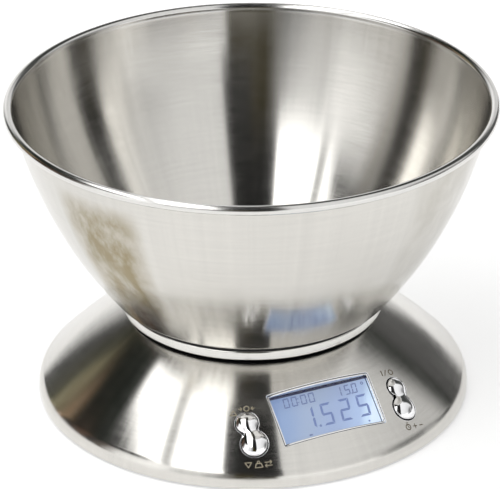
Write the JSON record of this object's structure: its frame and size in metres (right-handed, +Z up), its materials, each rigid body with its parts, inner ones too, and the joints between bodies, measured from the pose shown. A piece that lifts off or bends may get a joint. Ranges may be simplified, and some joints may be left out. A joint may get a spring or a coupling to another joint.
{
  "type": "kitchen scale",
  "caption": "Digital kitchen scale with a brushed steel lift-off mixing bowl, round base, backlit display, rocker buttons and sliding battery door.",
  "frame": {"origin": "on the table under the centre of the round base", "axes": "+Z up, display and buttons facing -Y, +X to the right of someone facing the display"},
  "size_m": [0.235, 0.2348, 0.153],
  "materials": {
    "brushed_steel": "circular brushed satin stainless steel",
    "polished_steel": "fine polished stainless steel",
    "chrome": "mirror chrome",
    "black_plastic": "fine moulded black ABS",
    "case_plastic": "moulded dark grey ABS",
    "rubber": "soft matt rubber",
    "aluminium": "milled aluminium",
    "screw_steel": "zinc plated steel",
    "white_plastic": "white moulded plastic",
    "silicone": "white silicone",
    "board_green": "solder-masked circuit board",
    "chip_black": "matt epoxy",
    "ceramic": "ceramic chips with tinned ends",
    "clear_lens": "clear acrylic",
    "lcd_blue": "backlit blue LCD",
    "backlight": "milky light guide",
    "conductive_rubber": "striped contact rubber",
    "battery_wrap": "printed metal jacket",
    "contact_metal": "nickel plated spring steel",
    "wire_white": "PVC jacket",
    "wire_grey": "PVC ribbon",
    "wire_red": "PVC jacket",
    "wire_black": "PVC jacket"
  },
  "bodies": {
    "base": {"top_cover": "brushed_steel", "cover_frame": "black_plastic", "bottom_case": "case_plastic", "case_screws": "screw_steel", "rubber_feet": "rubber", "load_cell": "aluminium", "load_cell_spacer": "aluminium", "load_cell_screws": "screw_steel", "strain_gauge_cover": "silicone", "overload_stop": "screw_steel", "sensor_cable": "wire_white", "main_board": "board_green", "controller_chip": "chip_black", "converter_chip": "chip_black", "board_components": "ceramic", "buzzer": "chip_black", "temperature_sensor": "chip_black", "board_screws": "screw_steel", "display_bezel": "chrome", "display_lens": "clear_lens", "display_holder": "white_plastic", "lcd_glass": "lcd_blue", "lcd_connector": "conductive_rubber", "backlight_panel": "backlight", "rocker_holders": "black_plastic", "rocker_pins": "screw_steel", "key_boards": "board_green", "tact_switches": "chip_black", "key_screws": "screw_steel", "key_cable_left": "wire_grey", "key_cable_right": "wire_grey", "battery_cells": "battery_wrap", "battery_springs": "contact_metal", "battery_contacts": "contact_metal", "battery_lead_red": "wire_red", "battery_lead_black": "wire_black"},
    "platform": {"platform_pan": "polished_steel", "platform_carrier": "black_plastic", "platform_bracket": "aluminium", "platform_screws": "screw_steel", "bracket_spacer": "aluminium", "bracket_screws": "screw_steel"},
    "bowl": {"bowl": "brushed_steel"},
    "tare_unit_button": {"tare_unit_rocker": "chrome"},
    "power_timer_button": {"power_timer_rocker": "chrome"},
    "battery_door": {"battery_door": "case_plastic"}
  },
  "joints": [
    {"name": "platform_press", "type": "slide", "parent": "base", "child": "platform", "axis": [0, 0, 1], "range_m": [-0.0005, 0], "stiffness_N_per_m": 100000, "deforming": ["load_cell"]},
    {"name": "bowl_lift", "type": "slide", "parent": "platform", "child": "bowl", "axis": [0, 0, 1], "range_m": [0, 0.12]},
    {"name": "tare_unit_rock", "type": "hinge", "parent": "base", "child": "tare_unit_button", "pos_m": [-0.03784, -0.07785, 0.01851], "axis": [0.9564, -0.1835, 0.2272], "range_deg": [-3, 3], "stiffness_Nm_per_rad": 0.2},
    {"name": "power_timer_rock", "type": "hinge", "parent": "base", "child": "power_timer_button", "pos_m": [0.03784, -0.07785, 0.01851], "axis": [0.9564, 0.1835, -0.2272], "range_deg": [-3, 3], "stiffness_Nm_per_rad": 0.2},
    {"name": "battery_door_slide", "type": "slide", "parent": "base", "child": "battery_door", "axis": [0, 1, 0], "range_m": [0, 0.018]}
  ]
}
